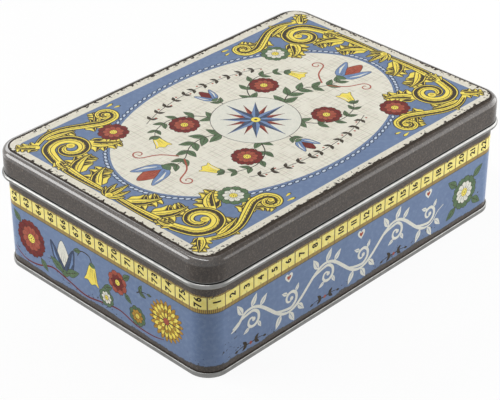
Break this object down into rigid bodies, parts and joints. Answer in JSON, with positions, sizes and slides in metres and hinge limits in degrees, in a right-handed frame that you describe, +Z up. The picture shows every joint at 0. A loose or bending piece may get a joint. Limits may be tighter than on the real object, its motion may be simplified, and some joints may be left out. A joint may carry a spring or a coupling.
{
  "type": "lidded tin box",
  "caption": "Flat rectangular tinplate box with rounded corners, a double-seamed base and a lift-off lid with a rolled bead.",
  "frame": {"origin": "middle of the foot, on the surface that the tin stands on", "axes": "+X along the long sides, +Y from the front long side to the back one with the side seam, +Z up"},
  "size_m": [0.23, 0.16, 0.07],
  "materials": {
    "printed_tinplate": "varnished print on tinplate, dark grey-brown skirt with a pale bordered top",
    "printed_tinplate_body": "varnished print on tinplate, blue with a yellow tape band",
    "bare_tinplate": "bright rolled tinplate"
  },
  "bodies": {
    "tin_body": {"body_wall": "printed_tinplate_body", "base_panel": "bare_tinplate"},
    "lid": {"lid": "printed_tinplate"}
  },
  "joints": [
    {"name": "lid_lift", "type": "slide", "parent": "tin_body", "child": "lid", "axis": [0, 0, 1], "range_m": [0, 0.1]}
  ]
}
